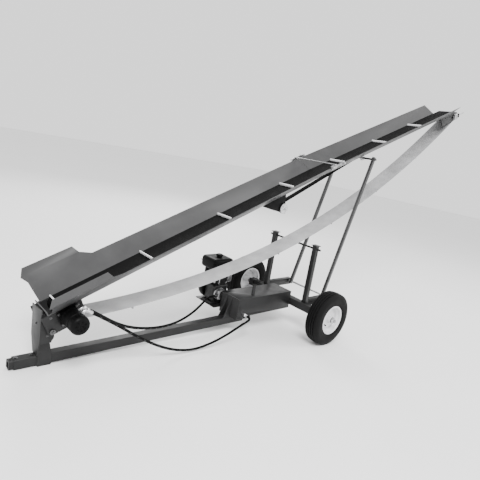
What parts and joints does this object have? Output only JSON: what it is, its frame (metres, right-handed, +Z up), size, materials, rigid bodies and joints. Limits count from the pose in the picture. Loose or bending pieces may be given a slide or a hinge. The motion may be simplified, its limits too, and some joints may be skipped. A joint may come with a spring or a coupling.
{
  "type": "belt grain conveyor",
  "caption": "Towable two-wheel belt grain conveyor with a sloped trough, cleated belt loop, hydraulic drive, tilt arms and a tank in its frame",
  "frame": {"origin": "On the ground, midway between the two ends and the two wheels", "axes": "+X towards the discharge end, +Y towards the engine side, +Z up"},
  "size_m": [4.4002, 1.078, 2.1992],
  "materials": {
    "frame_paint": "semi-gloss dark grey paint",
    "bare_steel": "bare steel",
    "zinc": "zinc plated",
    "black_plastic": "moulded black",
    "tyre": "black rubber",
    "rim_paint": "light grey paint",
    "trough_paint": "satin grey paint",
    "cast": "painted casting",
    "belt_rubber": "matt belt rubber",
    "black_steel": "black paint",
    "strap": "woven strap",
    "alloy": "die cast",
    "shroud_plastic": "black paint",
    "hose_rubber": "hydraulic hose cover"
  },
  "bodies": {
    "chassis": {"tongue": "frame_paint", "hitch_bolts": "zinc", "tail_stand": "frame_paint", "tilt_pin": "zinc", "tongue_gussets": "frame_paint", "tank_shell": "frame_paint", "tank_fitting": "zinc", "axle_beam": "frame_paint", "frame_arms": "frame_paint", "lift_pivot_rod": "zinc", "belt_posts": "frame_paint", "carrier_rod": "frame_paint", "axle_spindles": "bare_steel", "axle_nuts": "zinc", "wheel_bearings": "bare_steel", "engine_deck": "frame_paint", "engine_block": "alloy", "engine_shroud": "shroud_plastic", "fuel_tank": "shroud_plastic", "silencer": "alloy", "air_cleaner": "black_plastic", "gear_pump": "alloy"},
    "near_wheel": {"near_tyre": "tyre", "near_rim": "rim_paint"},
    "far_wheel": {"far_tyre": "tyre", "far_rim": "rim_paint"},
    "conveyor": {"trough_lower": "trough_paint", "trough_upper": "trough_paint", "tail_side_plates": "trough_paint", "tail_bearings": "cast", "head_side_plates": "trough_paint", "conveyor_belt": "belt_rubber", "belt_cleats": "belt_rubber", "belt_return": "belt_rubber", "return_cleats": "belt_rubber", "latch_bases": "black_steel", "hydraulic_motor": "cast", "motor_fittings": "zinc", "winch_frame": "black_steel", "winch_strap": "strap", "hose_upper": "hose_rubber", "hose_lower": "hose_rubber"},
    "lift_arms": {"lift_arms": "frame_paint"},
    "carriage": {"carriage_shaft": "zinc", "strap_hook": "black_steel"},
    "rollers": {"carriage_rollers": "bare_steel"},
    "winch_drum": {"winch_drum": "zinc"},
    "tail_pulley": {"tail_pulley": "bare_steel"},
    "take_up": {"head_bearings": "cast", "takeup_screws": "zinc"},
    "head_pulley": {"head_pulley": "bare_steel"},
    "near_latch": {"near_latch": "black_steel"},
    "far_latch": {"far_latch": "black_steel"},
    "hitch": {"hitch_bar": "bare_steel"},
    "filler_cap": {"filler_cap": "black_plastic"},
    "fuel_cap": {"fuel_cap": "black_plastic"},
    "throttle_lever": {"throttle_lever": "zinc"}
  },
  "joints": [
    {"name": "trough_tilt", "type": "hinge", "parent": "chassis", "child": "conveyor", "pos_m": [-2.02132, 0, 0.2246], "axis": [0, -1, 0], "range_deg": [-6, 1.5], "deforming": ["belt_return", "return_cleats", "hose_upper", "hose_lower", "winch_strap"]},
    {"name": "arm_swing", "type": "hinge", "parent": "chassis", "child": "lift_arms", "pos_m": [0.21187, 0, 0.26117], "axis": [0, -1, 0], "range_deg": [-22, 6]},
    {"name": "carriage_slide", "type": "slide", "parent": "conveyor", "child": "carriage", "axis": [0.9157, 0, 0.402], "range_m": [-0.09, 0.34]},
    {"name": "roller_spin", "type": "hinge", "parent": "carriage", "child": "rollers", "pos_m": [0.49087, 0, 1.46554], "axis": [0, 1, 0], "continuous": true},
    {"name": "winch_turn", "type": "hinge", "parent": "conveyor", "child": "winch_drum", "pos_m": [-0.36907, 0, 0.96188], "axis": [0, -1, 0], "range_deg": [-714, 184]},
    {"name": "near_wheel_spin", "type": "hinge", "parent": "chassis", "child": "near_wheel", "pos_m": [-0.0834, -0.461, 0.2095], "axis": [0, 1, 0], "continuous": true},
    {"name": "far_wheel_spin", "type": "hinge", "parent": "chassis", "child": "far_wheel", "pos_m": [-0.0834, 0.461, 0.2095], "axis": [0, 1, 0], "continuous": true},
    {"name": "head_pulley_spin", "type": "hinge", "parent": "take_up", "child": "head_pulley", "pos_m": [2.02498, 0, 2.11784], "axis": [0, 1, 0], "continuous": true},
    {"name": "tail_pulley_spin", "type": "hinge", "parent": "conveyor", "child": "tail_pulley", "pos_m": [-1.94866, 0, 0.31709], "axis": [0, 1, 0], "continuous": true},
    {"name": "head_take_up", "type": "slide", "parent": "conveyor", "child": "take_up", "axis": [0.9157, 0, 0.402], "range_m": [-0.03, 0]},
    {"name": "near_latch_turn", "type": "hinge", "parent": "conveyor", "child": "near_latch", "pos_m": [-0.09008, -0.2112, 1.3308], "axis": [0, -1, 0], "range_deg": [0, 100]},
    {"name": "far_latch_turn", "type": "hinge", "parent": "conveyor", "child": "far_latch", "pos_m": [-0.09008, 0.2112, 1.3308], "axis": [0, -1, 0], "range_deg": [0, 100]},
    {"name": "hitch_slide", "type": "slide", "parent": "chassis", "child": "hitch", "axis": [-0.9993, 0, -0.0374], "range_m": [0, 0.15]},
    {"name": "filler_cap_turn", "type": "hinge", "parent": "chassis", "child": "filler_cap", "pos_m": [-0.52024, -0.053, 0.3843], "axis": [-0.0374, 0, 0.9993], "range_deg": [0, 120]},
    {"name": "fuel_cap_turn", "type": "hinge", "parent": "chassis", "child": "fuel_cap", "pos_m": [-0.68519, 0.215, 0.51373], "axis": [-0.0374, 0, 0.9993], "range_deg": [0, 120]},
    {"name": "throttle_turn", "type": "hinge", "parent": "chassis", "child": "throttle_lever", "pos_m": [-0.69772, 0.149, 0.31362], "axis": [0, 1, 0], "range_deg": [-20, 30]}
  ],
  "couplings": [
    {"joint": "arm_swing", "follows": "trough_tilt", "ratio": 3.519},
    {"joint": "carriage_slide", "follows": "trough_tilt", "m_per_rad": -3.0856},
    {"joint": "winch_turn", "follows": "trough_tilt", "ratio": 116.6},
    {"joint": "tail_pulley_spin", "follows": "head_pulley_spin", "ratio": 1}
  ]
}
